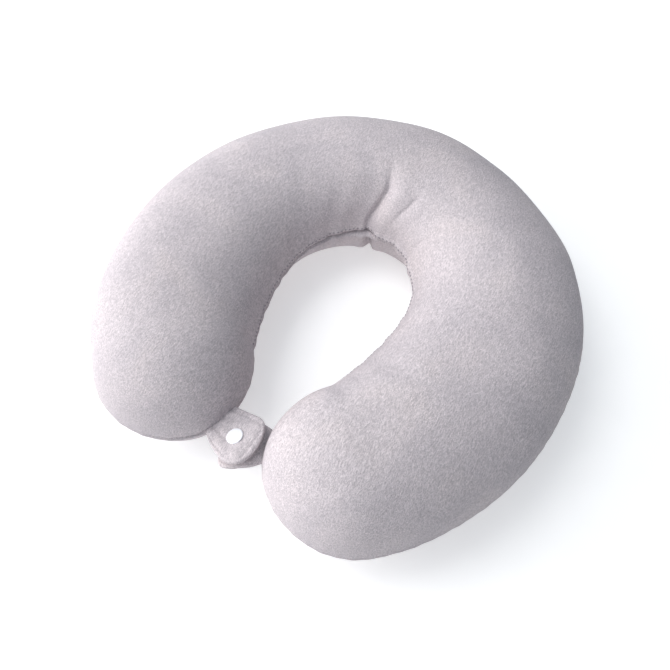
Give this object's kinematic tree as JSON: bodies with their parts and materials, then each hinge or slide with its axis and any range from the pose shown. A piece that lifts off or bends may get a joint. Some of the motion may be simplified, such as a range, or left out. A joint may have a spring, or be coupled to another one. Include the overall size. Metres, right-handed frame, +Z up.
{
  "type": "u shaped neck pillow",
  "caption": "U shaped travel neck pillow: plump ring with an open front, a soft pile cover over a foam core, a hidden zip at the back and a snap tab that joins the arms.",
  "frame": {"origin": "centre of the bounding box, on the surface that the pillow lies on", "axes": "+Z up out of the upper panel, +Y towards the closed back of the U, +X to the right as seen from the mouth"},
  "size_m": [0.3178, 0.3088, 0.0877],
  "materials": {
    "foam": "matte",
    "lining": "matte",
    "velvet": "matte",
    "label_tape": "matte",
    "zip_tape": "matte",
    "zip_coil": "satin",
    "nickel": "satin",
    "snap_resin": "satin"
  },
  "bodies": {
    "pillow": {"foam_core": "foam", "liner_top_panel": "lining", "liner_bottom_panel": "lining", "cover_top_panel": "velvet", "cover_bottom_panel": "velvet", "care_label": "label_tape", "zip_tape_upper": "zip_tape", "zip_coil_upper": "zip_coil", "zip_tape_lower": "zip_tape", "zip_coil_lower": "zip_coil", "zip_stop_left": "nickel", "zip_stop_right": "nickel"},
    "slider": {"zip_slider": "nickel"},
    "pull": {"zip_pull": "nickel"},
    "upper_tab": {"upper_tab_top_ply": "velvet", "upper_tab_bottom_ply": "velvet", "snap_cap_upper": "snap_resin", "snap_socket": "snap_resin"},
    "lower_tab": {"lower_tab_top_ply": "velvet", "lower_tab_bottom_ply": "velvet", "snap_stud": "snap_resin", "snap_cap_lower": "snap_resin"}
  },
  "joints": [
    {"name": "slider_travel", "type": "hinge", "parent": "pillow", "child": "slider", "pos_m": [0, -0.00162, 0.043], "axis": [0, 0, -1], "range_deg": [0, 72]},
    {"name": "pull_swing", "type": "hinge", "parent": "slider", "child": "pull", "pos_m": [-0.09451, 0.12563, 0.043], "axis": [0, 0, 1], "range_deg": [0, 180]},
    {"name": "upper_tab_lift", "type": "hinge", "parent": "pillow", "child": "upper_tab", "pos_m": [-0.01689, -0.1268, 0.04647], "axis": [-0.3227, -0.9465, 0], "range_deg": [0, 70], "stiffness_Nm_per_rad": 0.004},
    {"name": "lower_tab_fold", "type": "hinge", "parent": "pillow", "child": "lower_tab", "pos_m": [0.01576, -0.1268, 0.0415], "axis": [0.3227, -0.9465, 0], "range_deg": [0, 60], "stiffness_Nm_per_rad": 0.0126}
  ]
}
